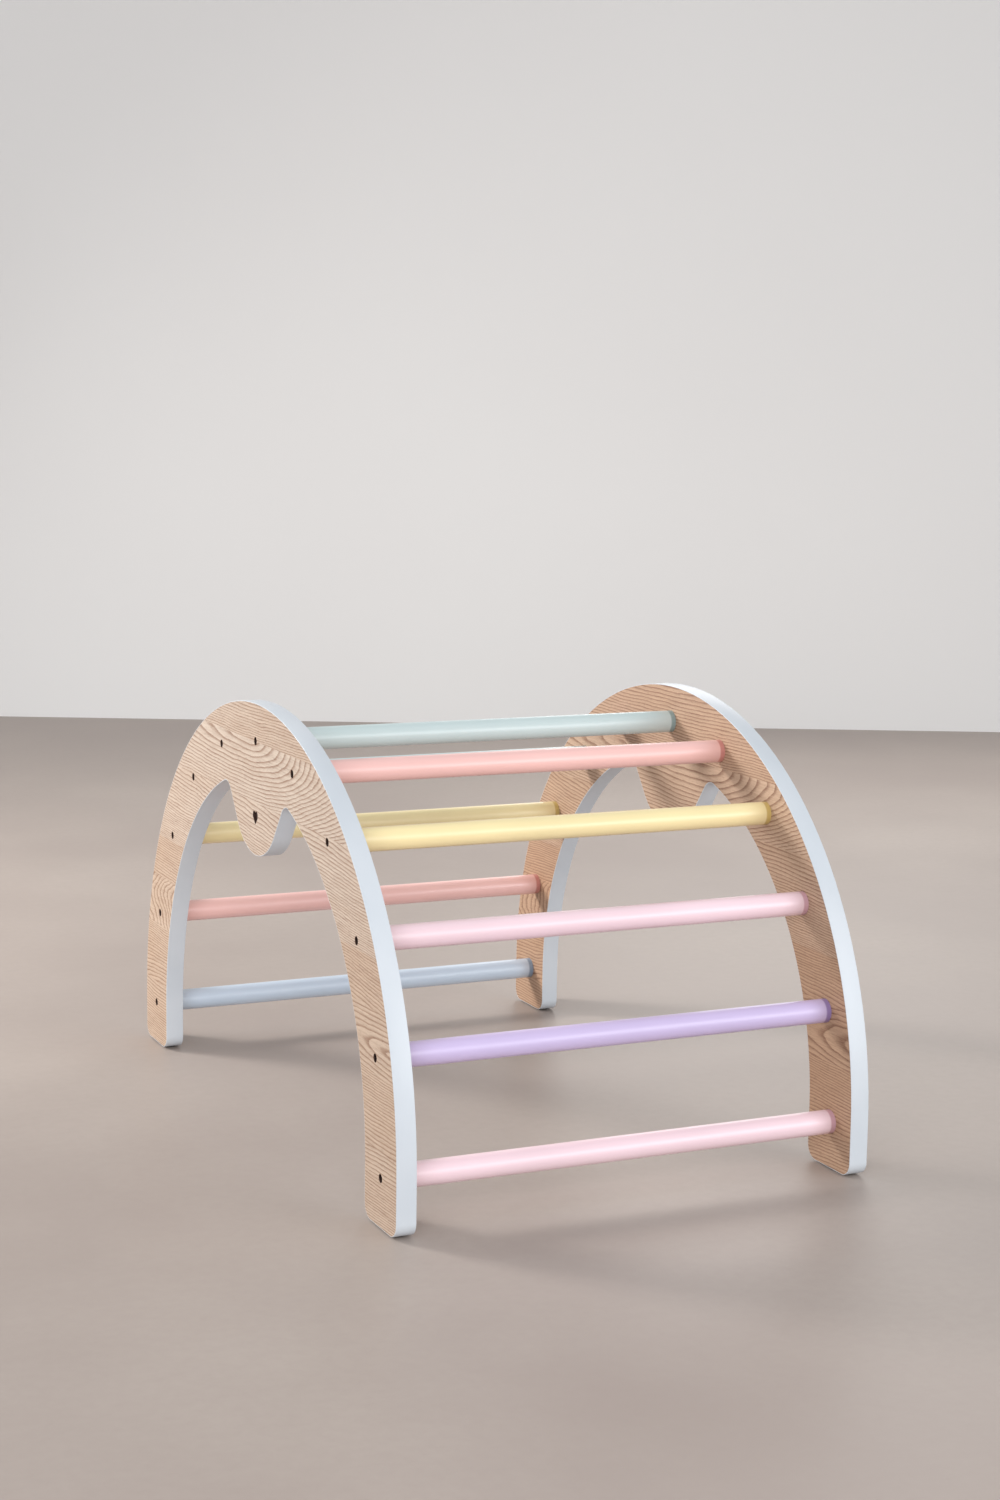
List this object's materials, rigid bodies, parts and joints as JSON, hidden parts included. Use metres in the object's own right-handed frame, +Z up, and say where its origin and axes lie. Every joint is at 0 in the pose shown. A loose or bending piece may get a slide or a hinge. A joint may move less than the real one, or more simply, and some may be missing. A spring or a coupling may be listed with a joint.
{
  "type": "children's climbing arch",
  "caption": "Low indoor climbing arch with two arched board side panels, painted round rungs set in sockets between them, and small pads under the feet.",
  "frame": {"origin": "on the floor, midway between the two panels and midway between the front and back feet", "axes": "+X along the rungs towards the right panel, +Y along the arch's span towards the back, +Z up"},
  "size_m": [0.63, 0.978, 0.558],
  "materials": {
    "oak_board": "oak-faced board, clear matt lacquer, open grain along the span",
    "edge_band": "smooth satin pale blue-white strip with softened arrises",
    "paint_mint": "beech dowel, satin mint paint",
    "paint_salmon": "beech dowel, satin salmon paint",
    "paint_yellow": "beech dowel, satin pale yellow paint",
    "paint_pink": "beech dowel, satin light pink paint",
    "paint_purple": "beech dowel, satin lilac paint",
    "paint_grey_blue": "beech dowel, satin grey-blue paint",
    "screw_steel": "dark bronze-coloured plated steel",
    "insert_zinc": "zinc-plated steel",
    "foot_pad": "dark grey rubber, matt"
  },
  "bodies": {
    "root": {"side_panel_left": "oak_board", "side_panel_right": "oak_board", "edge_band_left": "edge_band", "edge_band_right": "edge_band", "rung_crown": "paint_mint", "rung_front_1": "paint_salmon", "rung_front_2": "paint_yellow", "rung_front_3": "paint_pink", "rung_front_4": "paint_purple", "rung_front_5": "paint_pink", "rung_back_1": "paint_purple", "rung_back_2": "paint_mint", "rung_back_3": "paint_yellow", "rung_back_4": "paint_salmon", "rung_back_5": "paint_grey_blue", "screws_left": "screw_steel", "screws_right": "screw_steel", "inserts_left": "insert_zinc", "inserts_right": "insert_zinc", "foot_pad_left_front": "foot_pad", "foot_pad_left_back": "foot_pad", "foot_pad_right_front": "foot_pad", "foot_pad_right_back": "foot_pad"}
  },
  "joints": []
}
